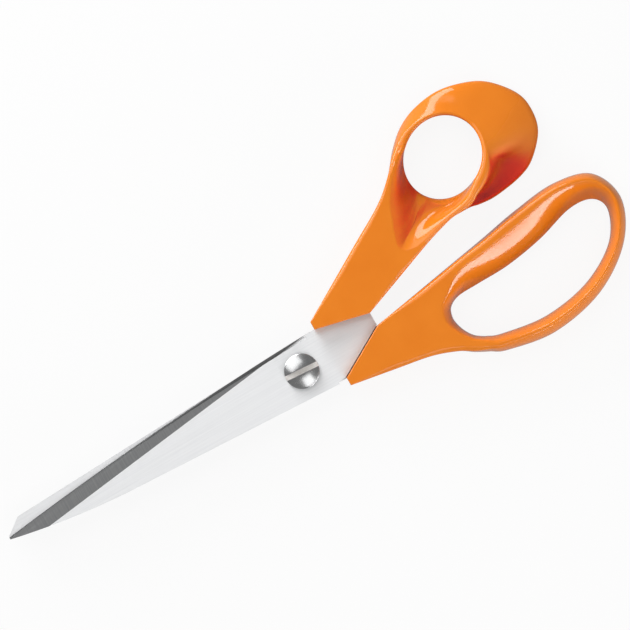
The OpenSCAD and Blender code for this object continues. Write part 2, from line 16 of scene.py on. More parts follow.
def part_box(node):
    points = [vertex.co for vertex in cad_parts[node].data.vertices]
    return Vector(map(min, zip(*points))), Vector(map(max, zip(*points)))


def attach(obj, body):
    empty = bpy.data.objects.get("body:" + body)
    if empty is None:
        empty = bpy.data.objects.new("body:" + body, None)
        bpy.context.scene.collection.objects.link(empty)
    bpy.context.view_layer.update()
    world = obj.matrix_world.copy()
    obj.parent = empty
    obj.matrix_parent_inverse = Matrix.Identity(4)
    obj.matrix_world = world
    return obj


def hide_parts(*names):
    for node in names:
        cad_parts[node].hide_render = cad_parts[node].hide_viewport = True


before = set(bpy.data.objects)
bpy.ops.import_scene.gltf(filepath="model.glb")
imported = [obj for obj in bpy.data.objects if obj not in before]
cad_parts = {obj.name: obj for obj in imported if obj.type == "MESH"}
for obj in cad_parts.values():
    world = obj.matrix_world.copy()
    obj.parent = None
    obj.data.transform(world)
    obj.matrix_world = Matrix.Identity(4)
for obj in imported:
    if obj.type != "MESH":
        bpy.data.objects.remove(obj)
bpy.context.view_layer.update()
MM = 0.001

# The shanks reach from the floor to this level.
SHANK_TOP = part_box("finger_handle")[1].z / MM

# Rounding of the handles' upper and lower edges; it starts small at the shoulder and grows along the shank.
EDGE_R = 1.4
FINGER_EDGE_R = EDGE_R + 0.4
LOW_R = 1.3
SHOULDER_R = 0.4
SHOULDER_BLEND = 18.0

# Shoulder corners of the thumb handle (A, B, C) and of the finger handle (D, E, F)
THUMB_A = np.array([-9.5, -11.5])
THUMB_B = np.array([-9.5, -8.9])
THUMB_C = np.array([-26.4, -5.0])
FINGER_D = np.array([-26.6, -0.7])
FINGER_E = np.array([-10.7, 8.4])
FINGER_F = np.array([-10.7, 11.0])

# Thumb ring: each list gives a value by the direction from the middle of the hole, in degrees.
THUMB_MID = np.array([-68.6, -34.8])
THUMB_HEEL = THUMB_MID + [24.2, 2.8]
THUMB_R = 12.1
THUMB_OVAL = 0.6
THUMB_TURN = 36
FLARE_REACH = 18.3
LIP_W = 4.0
# Outer edge, as a share of the flare's reach
THUMB_REACH = [
    (50, 0.79), (60, 0.49), (70, 0.34), (80, 0.29), (90, 0.28), (100, 0.33), (115, 0.43), (136, 0.65),
    (149, 0.81), (166, 0.97), (180, 1), (192, 0.95), (209, 0.79), (224, 0.62), (245, 0.43), (270, 0.27),
    (295, 0.19), (322, 0.17), (350, 0.3),
]
# Height of the rim over the shank on its near side, and how far it drops on the far side
RIM_RISE = 2.0
RIM_HIGH = 135
RIM_HALF = 115
RIM_DROP = 2.2
# Stretches in which a form rises from nothing to its full size and falls again
DROP_SPAN = (130, 205, 300, 350)
FLARE_SPAN = (78, 104, 270, 345)
HOLLOW_SPAN = (116, 152, 265, 315)
# Direction beyond which the scoop's lists count in degrees below nought
SCOOP_WRAP = 305
# Width of the rim between the hole and the flare
RIM_KEYS = [(80, 4.6), (100, 3.7), (120, 3.3), (135, 2.9), (150, 2.3), (170, 1.6), (260, 1.5), (320, 1.7)]
# Rounding of the rim's inner edge
RIM_ROUND = [(60, 1.4), (100, 2.2), (130, 2.0), (150, 1.5), (175, 0.8), (260, 0.8), (320, 1.0), (345, 1.4)]
# Largest share of the rim's width that its inner edge takes, and that both edges take
RIM_IN_SHARE = 0.5
RIM_BOTH_SHARE = 0.88
# Length of the scoop that leads into the hole
SCOOP_KEYS = [
    (-45, 0), (-28, 1.0), (-12, 3.0), (5, 5.8), (15, 8.4), (23, 10.8), (30, 14.0), (36, 16.6),
    (41, 15.2), (46, 12.6), (54, 8.2), (67, 4.8), (80, 3.0), (95, 1.6), (106, 0.6), (116, 0),
]
# Lean of the flare and of the scoop from the upright, at their top and at their foot
FLARE_TOP_LEAN = [
    (78, 0), (95, 2), (130, 5), (146, 17), (153, 44), (160, 63), (171, 70), (205, 68),
    (225, 63), (238, 58), (250, 55), (265, 52), (285, 44), (300, 28), (312, 13), (330, 0),
]
FLARE_FOOT_LEAN = [
    (80, 0), (93, 60), (106, 82), (140, 84), (160, 76), (180, 68), (205, 60),
    (225, 54), (238, 50), (250, 46), (265, 37), (285, 16), (300, 6), (312, 0),
]
SCOOP_TOP_LEAN = [(-45, 0), (-20, 40), (0, 60), (24, 62), (36, 66), (60, 66), (85, 44), (103, 14), (116, 0)]
SCOOP_FOOT_LEAN = [
    (-45, 0), (-20, 24), (0, 36), (20, 46), (32, 62), (42, 78), (60, 76), (85, 42), (103, 8), (116, 0),
]
# Depth of the flare's hollow
FLARE_DIP = [(84, 1), (104, 1.6), (138, 1.7), (160, 1)]
# Rounding of the outer lip and its lift, and rounding of the foot of the scoop
LIP_ROUND = [(84, 1.3), (105, 1.2), (140, 1.3), (165, 2.1), (205, 2.0), (232, 1.8), (262, 1.3)]
LIP_LIFT = [
    (84, 0), (135, 0), (165, 1.0), (205, 0.9), (232, 1.7), (250, 1.7), (270, 1.0), (285, 0.4), (300, 0),
]
SCOOP_ROUND = [(-28, 1.2), (10, 1.2), (25, 1.6), (40, 2.4), (66, 2.4), (95, 1.7), (112, 1.3)]

# Finger ring
FINGER_MID = np.array([-75.8, 9.8])
FINGER_HALF = np.array([55.7 / 2, 19.0 / 2])
UPPER_BAR_W = 11.4
LOWER_BAR_W = 5.6
END_BAR_W = 5.4
BAR_SLOPE = 7.2
BAR_FOOT_R = 2.0
RIDGE_SLOPE = 2.0
RIDGE_R = 1.2
MOUTH_R = 1.0
# Largest share of a bar's level width that each of its edges takes
BAR_EDGE_SHARE = 0.44
# Leans of the slopes from the upright, and the widths of a slope between which they set in
RIDGE_LEAN = 32
BAR_ADDED_LEAN = 21
BAR_FOOT_LEAN = 38
RIDGE_WIDTHS = (0.2, 1.8)
BAR_WIDTHS = (2, 5)
# Shank: place on the hole as shares of its half sizes, point of the outline, and width of the inner slope
FINGER_SHANK = [
    (0.975, -0.45, FINGER_D, 2.4),
    (1.018, -0.16, FINGER_E, 2.0),
    (1.015, 0.07, FINGER_F, 1.8),
    (0.99, 0.32, FINGER_F + [-14, 2.4], 1.4),
    (0.955, 0.52, FINGER_F + [-25.3, 4.4], 1.2),
    (0.925, 0.64, FINGER_F + [-33, 7.1], 1.0),
]
# Bars: place on the hole, direction and width of the bar, widths of its inner and outer slope, and its ridge
FINGER_BARS = [
    (0.89, 0.74, 55, LOWER_BAR_W - 0.6, 1.0, 0.3, 0.15),
    (0.8, 0.905, 72, LOWER_BAR_W - 0.8, 1.2, 0.7, 0.4),
    (0.63, 1.085, 78, LOWER_BAR_W - 0.3, 0.8 * RIDGE_SLOPE, 0.65 * RIDGE_SLOPE, 0.8),
    (0.13, 1.285, 90, LOWER_BAR_W, RIDGE_SLOPE, RIDGE_SLOPE, 1),
    (-0.41, 1.015, 116, LOWER_BAR_W - 0.5, RIDGE_SLOPE, RIDGE_SLOPE, 1),
    (-0.835, 0.28, 152, END_BAR_W - 0.8, RIDGE_SLOPE, 0.9 * RIDGE_SLOPE, 1),
    (-1.01, -0.66, 192, END_BAR_W, 1.3 * RIDGE_SLOPE, 0.8 * RIDGE_SLOPE, 0.8),
    (-0.92, -1.2, 241, END_BAR_W + 2.3, 0.65 * BAR_SLOPE, 1.6, 0.5),
    (-0.65, -1.285, 272, UPPER_BAR_W - 2.3, 0.8 * BAR_SLOPE, 1.2, 0.3),
    (-0.22, -0.92, 282, UPPER_BAR_W, BAR_SLOPE, 0.8, 0.2),
    (0.22, -0.7, 285, UPPER_BAR_W - 0.2, BAR_SLOPE, 0.5, 0.1),
    (0.6, -0.665, 292, UPPER_BAR_W - 1.5, 0.85 * BAR_SLOPE, 0.2, 0),
]
# Root of the upper bar, written as the shank's rows are
FINGER_ROOT = (0.845, -0.635, FINGER_D + [-9, -1.5], 0.5 * BAR_SLOPE)

# Fineness of the lofts
ARC_STEPS = 9
WALL_STEPS = 14
CURVE_STEPS = 16
SHOULDER_STEPS = 24
CORNER_STEPS = 4
# Longest outward normal at a corner, sharpest edge that is shaded as round, and settings of the fill
MITRE_LIMIT = 1.5
SHARP_ANGLE = 35
FILL_INSIDE = 1
FILL_NEAR = 1e-5

# Colours, each as the pair between which a surface varies
ORANGE = (0.9, 0.235, 0.014, 1), (0.94, 0.26, 0.018, 1)
SATIN = (0.735, 0.74, 0.75, 1), (0.815, 0.82, 0.825, 1)
# The ground bevels' colour is far darker than steel: a painted dark reflection.
GROUND_PAINTED_DARK = (0.105, 0.107, 0.109, 1), (0.152, 0.154, 0.154, 1)
POLISHED = (0.49, 0.495, 0.5, 1), (0.56, 0.56, 0.56, 1)
SLOT_CUT = (0.8, 0.76, 0.73, 1), (0.93, 0.9, 0.87, 1)
PLATED = (0.56, 0.57, 0.58, 1), (0.66, 0.67, 0.68, 1)
NYLON = (0.74, 0.73, 0.68, 1), (0.82, 0.81, 0.77, 1)
# Depth of the grain on every surface
GRAIN_DEPTH = 0.0001

# Painted shade in the hollows of the thumb handle: its red and dark colours, the hollows' roughness, and the
# side that lies away from the main light
# Both colours are painted shade: red where a hollow lies in shade, dark where it lies deepest in it
PAINTED_RED_SHADE = (0.95, 0.03, 0.008, 1)
PAINTED_DARK_SHADE = (0.35, 0.007, 0.012, 1)
DULL_ROUGHNESS = 0.6
SHADE_SIDE = (-0.5, 0.87, 0)
# Ranges in which that painted shade sets in: by the turn to the shaded side, by the share of open sky,
# and for the flare by its place, the height and the level of its floor
TURNED = (-0.25, 0.05)
SLOPE_TURNED = (-0.05, 0.3)
SKY_REACH = 0.016
RED_SKY = (0.86, 0.99)
DARK_SKY = (0.72, 0.87)
FLARE_SKY = (0.89, 1)
FLARE_DARK = 0.25
FLARE_X = (-0.08, -0.07)
FLARE_FLOOR_Z = (0.0024, 0.0044)
FLARE_FLOOR_LEVEL = (0.5, 0.8)
# Share of painted red shade from which on a hollow is dull
DULL_RED = (0.02, 0.25)

# How squarely a blade's face looks up or down where its finish turns from ground to satin
SATIN_FACES = (0.955, 0.985)
# Heel of the ground bevel beside the pivot, where its painted dark fades to satin so that the dark band
# narrows to a point: its taper, its reach from the middle line, the share of satin that the painted dark
# fades to, where it does so, and where the heel starts
BEVEL_TAPER = 0.14
BEVEL_HEEL = (0.00806, 0.00816)
HEEL_SATIN = (0.6, 0.4)
HEEL_SATIN_X = (-0.005, 0.003)
HEEL_X = (0.011, 0.013)

# Slot of the screw, in millimetres and degrees
SLOT_W = 1.5
SLOT_TURN = -4

# Broken edges of the solids, in millimetres and degrees
WELD_NEAR = 0.001
EDGE_ANGLE = 15

# Camera: straight above, turned as in the photograph
FIELD = 0.1888
CAMERA_HEIGHT = 2.5
CAMERA_OVER = (-0.01181, -0.01266)
IMAGE_RIGHT = Vector((-0.86819, 0.49624, 0))
IMAGE_UP = Vector((-0.49624, -0.86819, 0))

# World: brightness at the horizon and overhead, and the height from which on it is even
SKY_HORIZON = 0.32
SKY_ZENITH = 0.25
SKY_EVEN = 0.8

# Floor: half its width, its level just under the part, its tone as light falls on it and as it is seen,
# the share of it that gloss shows, and the share of plain white where it is seen
FLOOR_HALF = 3.0
FLOOR_LEVEL = -0.0002
FLOOR_LIT = (0.25, 0.25, 0.25, 1)
FLOOR_SEEN = (0.86, 0.86, 0.86, 1)
FLOOR_IN_GLOSS = 0.25
FLOOR_WHITE = 0.9


def unit(v):
    return v / np.linalg.norm(v, axis=-1, keepdims=True)


def ease(a, b, x):
    """Smooth step from nothing at a to one at b."""
    u = np.clip((x - a) / (b - a), 0, 1)
    return u * u * (3 - 2 * u)


def within(span, x):
    """One in the middle of a span, with a smooth rise at its start and a smooth fall at its end."""
    start, full, fall, end = span
    return ease(start, full, x) * (1 - ease(fall, end, x))


def hump(x, mid, half):
    """One at mid, falling to nothing at half on both sides of it, in degrees."""
    d = np.abs((x - mid + 540) % 360 - 180) / half
    return np.where(d >= 1, 0, (1 + np.cos(np.pi * np.minimum(d, 1))) / 2)


def polar(r, degrees):
    a = np.radians(degrees)
    return np.stack([r * np.cos(a), r * np.sin(a)], axis=-1)


def line(a, b, steps):
    """Even points from a up to b, without b."""
    return np.array([a + (b - a) * s / steps for s in range(steps)])


def spline(p0, p1, p2, p3, u):
    """Point at a share u of the way from p1 to p2, on a smooth curve through all four."""
    square, cube = 2 * p0 - 5 * p1 + 4 * p2 - p3, 3 * p1 - p0 - 3 * p2 + p3
    return (2 * p1 + (p2 - p0) * u + square * u**2 + cube * u**3) / 2


def hermite(p, q, slope_p, slope_q, u):
    """Point at a share u of the way from p to q, on a curve with the given slopes at its ends."""
    return (
        p * (2 * u**3 - 3 * u**2 + 1) + q * (3 * u**2 - 2 * u**3)
        + slope_p * (u**3 - 2 * u**2 + u) + slope_q * (u**3 - u**2)
    )


def curve(keys, steps):
    """Smooth open curve through the keys, without its last point."""
    keys = np.array(keys)
    last = len(keys) - 1
    points = []
    for i in range(last):
        near = [keys[min(max(k, 0), last)] for k in range(i - 1, i + 3)]
        points += [spline(*near, u) for u in np.arange(steps) / steps]
    return np.array(points)


def ring_curve(keys, steps):
    """Smooth closed curve through the keys, with a number of steps for each stretch."""
    points = []
    for i, count in enumerate(steps):
        near = [keys[k % len(keys)] for k in range(i - 1, i + 3)]
        points += [spline(*near, u) for u in np.arange(count) / count]
    return np.array(points)


def through(keys, x):
    """Smooth value at x through keys of place and value, held level beyond the first and the last."""
    at, value = np.array(keys, float).T
    rate = np.diff(value) / np.diff(at)
    same = rate[:-1] * rate[1:] > 0
    slope = np.zeros(len(at))
    slope[1:-1][same] = (2 * rate[:-1] * rate[1:])[same] / (rate[:-1] + rate[1:])[same]
    x = np.clip(x, at[0], at[-1])
    i = np.clip(np.searchsorted(at, x, side="right") - 1, 0, len(at) - 2)
    step = at[i + 1] - at[i]
    return hermite(value[i], value[i + 1], step * slope[i], step * slope[i + 1], (x - at[i]) / step)


def outward_normals(outline):
    """Normals of a closed anticlockwise outline, lengthened at its corners."""
    before = unit(outline - np.roll(outline, 1, axis=0))
    after = unit(np.roll(outline, -1, axis=0) - outline)
    m = np.stack([before[:, 1] + after[:, 1], -before[:, 0] - after[:, 0]], axis=1)
    square = (m * m).sum(axis=1, keepdims=True)
    return m * np.minimum(2 / square, MITRE_LIMIT / np.sqrt(square))


def clear_width(outer, inner):
    """Level width between two loops, square to the outer one."""
    return np.abs(((outer - inner) * unit(outward_normals(outer))).sum(axis=1))


def shoulder_round(outline, front, full):
    """Edge rounding that starts small at the shoulder and grows to its full size along the shank."""
    gaps = np.linalg.norm(np.roll(outline, -1, axis=0) - outline, axis=1)
    along = np.concatenate([[0], np.cumsum(gaps)[:-1]])
    past = along - along[front]
    before = gaps.sum() - along
    share = ease(0, SHOULDER_BLEND, np.minimum(past, before))
    share[: front + 1] = 0
    return SHOULDER_R + (full - SHOULDER_R) * share


def corner(p, n, r, z, start, end):
    """Rounded corner of every section, from one angle to another."""
    share = np.linspace(0, 1, ARC_STEPS + 1)
    a = start[:, None] + (end - start)[:, None] * share
    flat = p[:, None] - n[:, None] * (r[:, None] * (1 - np.cos(a)))[..., None]
    height = z[:, None] + r[:, None] * np.sin(a)
    return np.concatenate([flat, height[..., None]], axis=2)


def slope_dir(n, a):
    """Direction down a wall that leans outward along n."""
    return np.concatenate([unit(n) * np.sin(a)[:, None], -np.cos(a)[:, None]], axis=1)


def wall(p, q, t0, t1, pull):
    """Smooth wall between two corners of every section; pull says how far it holds its end slopes."""
    d = np.linalg.norm(q - p, axis=1, keepdims=True) * np.reshape(pull, (-1, 1))
    shares = np.arange(1, WALL_STEPS) / WALL_STEPS
    return np.stack([hermite(p, q, d * t0, d * t1, u) for u in shares], axis=1)


def chord_lean(p, q, n, drop):
    """Lean of the straight line from a top edge to a low edge."""
    return np.degrees(np.arctan2(((q - p) * unit(n)).sum(axis=1), drop))


def side(p, n_p, r_p, z_p, q, n_q, r_q, z_q, top_lean, foot_lean, pull=1.0):
    """One side of every section, from its top edge down to its low edge."""
    a_top, a_low = np.radians(top_lean), np.radians(foot_lean)
    right = np.full_like(a_top, math.pi / 2)
    upper = corner(p, n_p, r_p, z_p - r_p, right, a_top)
    lower = corner(q, n_q, r_q, z_q + r_q, a_low, -right)
    between = wall(upper[:, -1], lower[:, 0], slope_dir(n_p, a_top), slope_dir(n_q, a_low), pull)
    return np.concatenate([upper, between, lower], axis=1)


def thumb_sections():
    """Outer and inner side of every section round the thumb handle, from its shoulder on."""
    ring = [THUMB_MID + polar(THUMB_R + FLARE_REACH * share, a) for a, share in THUMB_REACH]
    keys = [
        THUMB_C, (THUMB_C + ring[0]) / 2, *ring, THUMB_HEEL,
        (2 * THUMB_HEEL + THUMB_A) / 3, (THUMB_HEEL + 2 * THUMB_A) / 3, THUMB_A,
    ]
    shoulder = [line(THUMB_A, THUMB_B, CORNER_STEPS), line(THUMB_B, THUMB_C, SHOULDER_STEPS)]
    outline = np.concatenate([*shoulder, curve(keys, CURVE_STEPS)])
    front = CORNER_STEPS + SHOULDER_STEPS
    spoke = outline - THUMB_MID
    span = np.linalg.norm(spoke, axis=1)
    angle = np.degrees(np.arctan2(spoke[:, 1], spoke[:, 0])) % 360
    turn = np.where(angle > SCOOP_WRAP, angle - 360, angle)
    edge = THUMB_R + THUMB_OVAL * np.cos(2 * np.radians(angle - THUMB_TURN))
    flare = within(FLARE_SPAN, angle)
    under = within(HOLLOW_SPAN, angle)
    top_out = THUMB_MID + polar(span + flare * (edge + through(RIM_KEYS, angle) - span), angle)
    top_in = THUMB_MID + polar(edge + through(SCOOP_KEYS, turn), angle)
    low_in = THUMB_MID + polar(edge + under * np.maximum(0, span - LIP_W - edge), angle)
    low_z = np.zeros(len(outline))
    top_z = SHANK_TOP + RIM_RISE * hump(angle, RIM_HIGH, RIM_HALF) - RIM_DROP * within(DROP_SPAN, angle)
    room = clear_width(top_out, top_in)
    in_r = np.minimum(through(RIM_ROUND, angle), RIM_IN_SHARE * room)
    out_r = np.minimum(shoulder_round(outline, front, EDGE_R), RIM_BOTH_SHARE * room - in_r)
    lip_r = np.maximum(shoulder_round(outline, front, LOW_R), flare * through(LIP_ROUND, angle))
    outer = side(
        top_out, outward_normals(top_out), out_r, top_z,
        outline, outward_normals(outline), lip_r, through(LIP_LIFT, angle),
        through(FLARE_TOP_LEAN, angle), through(FLARE_FOOT_LEAN, angle), through(FLARE_DIP, angle),
    )
    n_in = -outward_normals(top_in)
    chord = chord_lean(top_in, low_in, n_in, top_z)
    inner = side(
        top_in, n_in, in_r, top_z,
        low_in, -outward_normals(low_in), through(SCOOP_ROUND, turn), low_z,
        through(SCOOP_TOP_LEAN, turn) * (1 - under) + chord * under,
        through(SCOOP_FOOT_LEAN, turn) * (1 - under) + chord * under,
    )
    return outer, inner


def finger_hole(u, v):
    """Point on the finger hole, by shares of its half sizes."""
    return FINGER_MID + FINGER_HALF * [u, v]


def finger_row(u, v, outer, slope_in, slope_out=0, ridge=0):
    return np.array([*finger_hole(u, v), *outer, slope_in, slope_out, ridge])


def finger_sections():
    """Outer and inner side of every section round the finger handle, from its shoulder on."""
    shank = [finger_row(*values) for values in FINGER_SHANK]
    bars = [finger_row(u, v, finger_hole(u, v) + polar(w, a), *rest) for u, v, a, w, *rest in FINGER_BARS]
    keys = [*shank, *bars, finger_row(*FINGER_ROOT)]
    rows = ring_curve(keys, [SHOULDER_STEPS, CORNER_STEPS] + [CURVE_STEPS] * (len(keys) - 2))
    hole, slope_in, slope_out, ridge = rows[:, 0:2], rows[:, 4], rows[:, 5], rows[:, 6]
    shoulder = [line(FINGER_D, FINGER_E, SHOULDER_STEPS), line(FINGER_E, FINGER_F, CORNER_STEPS)]
    outline = np.concatenate([*shoulder, curve([key[2:4] for key in keys[2:] + keys[:1]], CURVE_STEPS)])
    front = SHOULDER_STEPS + CORNER_STEPS
    n_out = outward_normals(outline)
    top_in = hole + slope_in[:, None] * unit(outline - hole)
    top_out = outline - slope_out[:, None] * unit(n_out)
    low_z = np.zeros(len(rows))
    top_z = low_z + SHANK_TOP
    crest = np.clip(ridge, 0, 1)
    edge_room = BAR_EDGE_SHARE * clear_width(top_out, top_in)
    in_r = np.minimum(MOUTH_R + crest * (RIDGE_R - MOUTH_R), edge_room)
    out_r = shoulder_round(outline, front, FINGER_EDGE_R) * (1 - crest) + RIDGE_R * crest
    outer = side(
        top_out, n_out, np.minimum(out_r, edge_room), top_z,
        outline, n_out, shoulder_round(outline, front, LOW_R), low_z,
        RIDGE_LEAN * ease(*RIDGE_WIDTHS, slope_out), low_z,
    )
    n_in = -outward_normals(top_in)
    broad = ease(*BAR_WIDTHS, slope_in)
    inner = side(
        top_in, n_in, in_r, top_z,
        hole, -outward_normals(hole), LOW_R + (BAR_FOOT_R - LOW_R) * broad, low_z,
        RIDGE_LEAN * ease(*RIDGE_WIDTHS, slope_in) + BAR_ADDED_LEAN * broad, BAR_FOOT_LEAN * broad,
    )
    return outer, inner


def inside(points, loop):
    """Which of the points lie within a closed loop."""
    x, y = points[:, :1], points[:, 1:]
    ax, ay = loop.T
    bx, by = np.roll(loop, -1, axis=0).T
    crosses = ((ay > y) != (by > y)) & (x < ax + (y - ay) * (bx - ax) / np.where(by == ay, 1, by - ay))
    return crosses.sum(axis=1) % 2 == 1


def level_triangles(rim, hole):
    """Triangles of the level face between a rim and a hole, by place in the two loops set end to end."""
    n = len(rim)
    flat = np.concatenate([rim, hole])[:, :2]
    edges = [(k + i, k + (i + 1) % n) for k in (0, n) for i in range(n)]
    points = [Vector(p) for p in flat]
    at, _, triangles, origin, *_ = delaunay_2d_cdt(points, edges, [], FILL_INSIDE, FILL_NEAR)
    at, triangles = np.array([tuple(p) for p in at]), np.array(triangles)
    middle = at[triangles].mean(axis=1)
    kept = inside(middle, flat[:n]) & ~inside(middle, flat[n:])
    return np.array([ids[0] for ids in origin])[triangles[kept]]


def new_object(name, data):
    made = bpy.data.objects.new(name, data)
    bpy.context.scene.collection.objects.link(made)
    return made


def loft(name, outer, inner):
    """Closed ring of sections as a smooth mesh; its level faces are filled between their loops."""
    sections = np.concatenate([outer, inner[:, ::-1]], axis=1)
    n, m = sections.shape[:2]
    foot = outer.shape[1]
    faces = [
        (i * m + j, (i + 1) % n * m + j, (i + 1) % n * m + j + 1, i * m + j + 1)
        for i in range(n)
        for j in range(m - 1)
        if j != foot - 1
    ]
    for a, b, turn in ((0, m - 1, 1), (foot - 1, foot, -1)):
        index = np.concatenate([np.arange(n) * m + a, np.arange(n) * m + b])
        triangles = level_triangles(sections[:, a], sections[:, b])
        faces += [tuple(t) for t in index[triangles[:, ::turn]].tolist()]
    mesh = bpy.data.meshes.new(name)
    mesh.from_pydata((sections.reshape(-1, 3) * MM).tolist(), [], faces)
    mesh.validate()
    mesh.shade_smooth()
    mesh.set_sharp_from_angle(angle=math.radians(SHARP_ANGLE))
    piece = new_object(name, mesh)
    even = piece.modifiers.new("even", "WEIGHTED_NORMAL")
    even.keep_sharp = True
    even.weight = 100
    return piece


class Nodes:
    """Short hand for the node tree of a material or of the world."""

    def __init__(self, owner, shader="Principled BSDF"):
        owner.use_nodes = True
        self.owner = owner
        self.tree = owner.node_tree
        self.shader = self.tree.nodes[shader]

    def feed(self, socket, value):
        """Link a socket to another node's output, or give it a plain value."""
        if isinstance(value, bpy.types.NodeSocket):
            self.tree.links.new(value, socket)
        else:
            socket.default_value = value

    def add(self, kind, inputs=None, **settings):
        node = self.tree.nodes.new(kind)
        for key, value in settings.items():
            setattr(node, key, value)
        for key, value in (inputs or {}).items():
            self.feed(node.inputs[key], value)
        return node

    def set(self, **sockets):
        """Feed the shader's own sockets; an underscore stands for a space in a socket's name."""
        for key, value in sockets.items():
            self.feed(self.shader.inputs[key.replace("_", " ")], value)

    def math(self, operation, *values, **settings):
        return self.add("ShaderNodeMath", dict(enumerate(values)), operation=operation, **settings).outputs[0]

    def times(self, a, b):
        return self.math("MULTIPLY", a, b)

    def most(self, a, b):
        return self.math("MAXIMUM", a, b)

    def mix(self, share, a, b):
        """Colour between a and b."""
        return self.add("ShaderNodeMix", {0: share, 6: a, 7: b}, data_type="RGBA").outputs[2]

    def blend(self, share, a, b):
        """Number between a and b."""
        return self.add("ShaderNodeMix", {0: share, 2: a, 3: b}, data_type="FLOAT").outputs[0]

    def spread(self, value, low, high, start=0.3, end=0.7):
        """Even change from low to high while a value runs from start to end."""
        return self.add("ShaderNodeMapRange", {"Value": value, "From Min": start, "From Max": end,
                                               "To Min": low, "To Max": high}).outputs["Result"]

    def rise(self, value, span):
        return self.spread(value, 0, 1, *span)

    def fall(self, value, span):
        return self.spread(value, 1, 0, *span)

    def vary(self, noise, pair):
        """Colour that a noise spreads between a pair of colours."""
        return self.mix(self.spread(noise, 0, 1), *pair)

    def coordinates(self, kind):
        return self.add("ShaderNodeTexCoord").outputs[kind]

    def axes(self, vector):
        return self.add("ShaderNodeSeparateXYZ", {"Vector": vector}).outputs

    def noise(self, scale, detail=3.0, rough=0.5):
        """Noise in object coordinates, with a scale for each axis."""
        place = self.add("ShaderNodeMapping", {"Vector": self.coordinates("Object"), "Scale": scale})
        return self.add("ShaderNodeTexNoise", {"Vector": place.outputs["Vector"], "Scale": 1.0,
                                               "Detail": detail, "Roughness": rough}).outputs["Fac"]

    def bump(self, height, strength):
        inputs = {"Height": height, "Strength": strength, "Distance": GRAIN_DEPTH}
        return self.add("ShaderNodeBump", inputs).outputs["Normal"]

    def from_line(self, turn):
        """Distance from a line through the pivot that is turned from the X axis, in metres."""
        inputs = {"Vector": self.coordinates("Object"), "Angle": -math.radians(turn)}
        turned = self.add("ShaderNodeVectorRotate", inputs, rotation_type="Z_AXIS").outputs["Vector"]
        return self.math("ABSOLUTE", self.axes(turned)["Y"])

    def upright(self):
        """How squarely a face looks up or down: 1 on the flats, less on the ground faces."""
        normal = self.add("ShaderNodeNewGeometry").outputs["True Normal"]
        return self.math("ABSOLUTE", self.axes(normal)["Z"])


def painted_shade_of_hollows(nodes):
    """How much red and dark shade is painted on a spot, and how dull it is, by how deep it lies in a hollow
    away from the main light.
    """
    place = nodes.axes(nodes.coordinates("Object"))
    normal = nodes.coordinates("Normal")
    dot = nodes.add("ShaderNodeVectorMath", {0: normal, 1: SHADE_SIDE}, operation="DOT_PRODUCT")
    away = dot.outputs["Value"]
    turned = nodes.rise(away, TURNED)
    occlusion = nodes.add("ShaderNodeAmbientOcclusion", {"Distance": SKY_REACH}, samples=8, only_local=True)
    open_sky = occlusion.outputs["AO"]
    # Under the flare the shade is painted by place, by open sky and by the height and level of its floor.
    flare = nodes.fall(place["X"], FLARE_X)
    under_flare = nodes.times(flare, nodes.fall(open_sky, FLARE_SKY))
    level = nodes.rise(nodes.axes(normal)["Z"], FLARE_FLOOR_LEVEL)
    flare_floor = nodes.times(nodes.fall(place["Z"], FLARE_FLOOR_Z), level)
    deep = nodes.most(nodes.fall(open_sky, RED_SKY), nodes.most(flare_floor, under_flare))
    deepest = nodes.most(nodes.fall(open_sky, DARK_SKY), nodes.times(under_flare, FLARE_DARK))
    # Red and dark painted as shade on the sides turned away from the main light.
    painted_red = nodes.times(deep, turned)
    painted_dark = nodes.times(deepest, turned)
    slope = nodes.times(flare, nodes.rise(away, SLOPE_TURNED))
    dull = nodes.most(nodes.rise(painted_red, DULL_RED), slope)
    return painted_red, painted_dark, dull


def handle_plastic(name, paints_hollow_shade):
    """Glossy orange with red and dark shade painted into its shaded hollows, which are also duller."""
    nodes = Nodes(bpy.data.materials.new(name))
    colour = nodes.vary(nodes.noise((90, 90, 90)), ORANGE)
    roughness = nodes.spread(nodes.noise((260, 260, 260), detail=5), 0.08, 0.13)
    if paints_hollow_shade:
        painted_red, painted_dark, dull = painted_shade_of_hollows(nodes)
        # The red and the dark laid over the orange are painted shade.
        colour = nodes.mix(painted_dark, nodes.mix(painted_red, colour, PAINTED_RED_SHADE), PAINTED_DARK_SHADE)
        roughness = nodes.blend(dull, roughness, DULL_ROUGHNESS)
    nodes.set(
        Base_Color=colour,
        Roughness=roughness,
        IOR=1.45,
        Normal=nodes.bump(nodes.noise((1400, 1400, 1400), detail=2), 0.012),
    )
    return nodes.owner


def heel_of_bevel(nodes):
    """Share of satin where the painted dark of the ground bevel fades out, so that the dark band narrows to a
    point beside the pivot.
    """
    place = nodes.axes(nodes.coordinates("Object"))
    reach = nodes.math("MULTIPLY_ADD", place["X"], BEVEL_TAPER, nodes.math("ABSOLUTE", place["Y"]))
    satin = nodes.spread(place["X"], *HEEL_SATIN, *HEEL_SATIN_X)
    return nodes.times(nodes.times(nodes.fall(reach, BEVEL_HEEL), satin), nodes.fall(place["X"], HEEL_X))


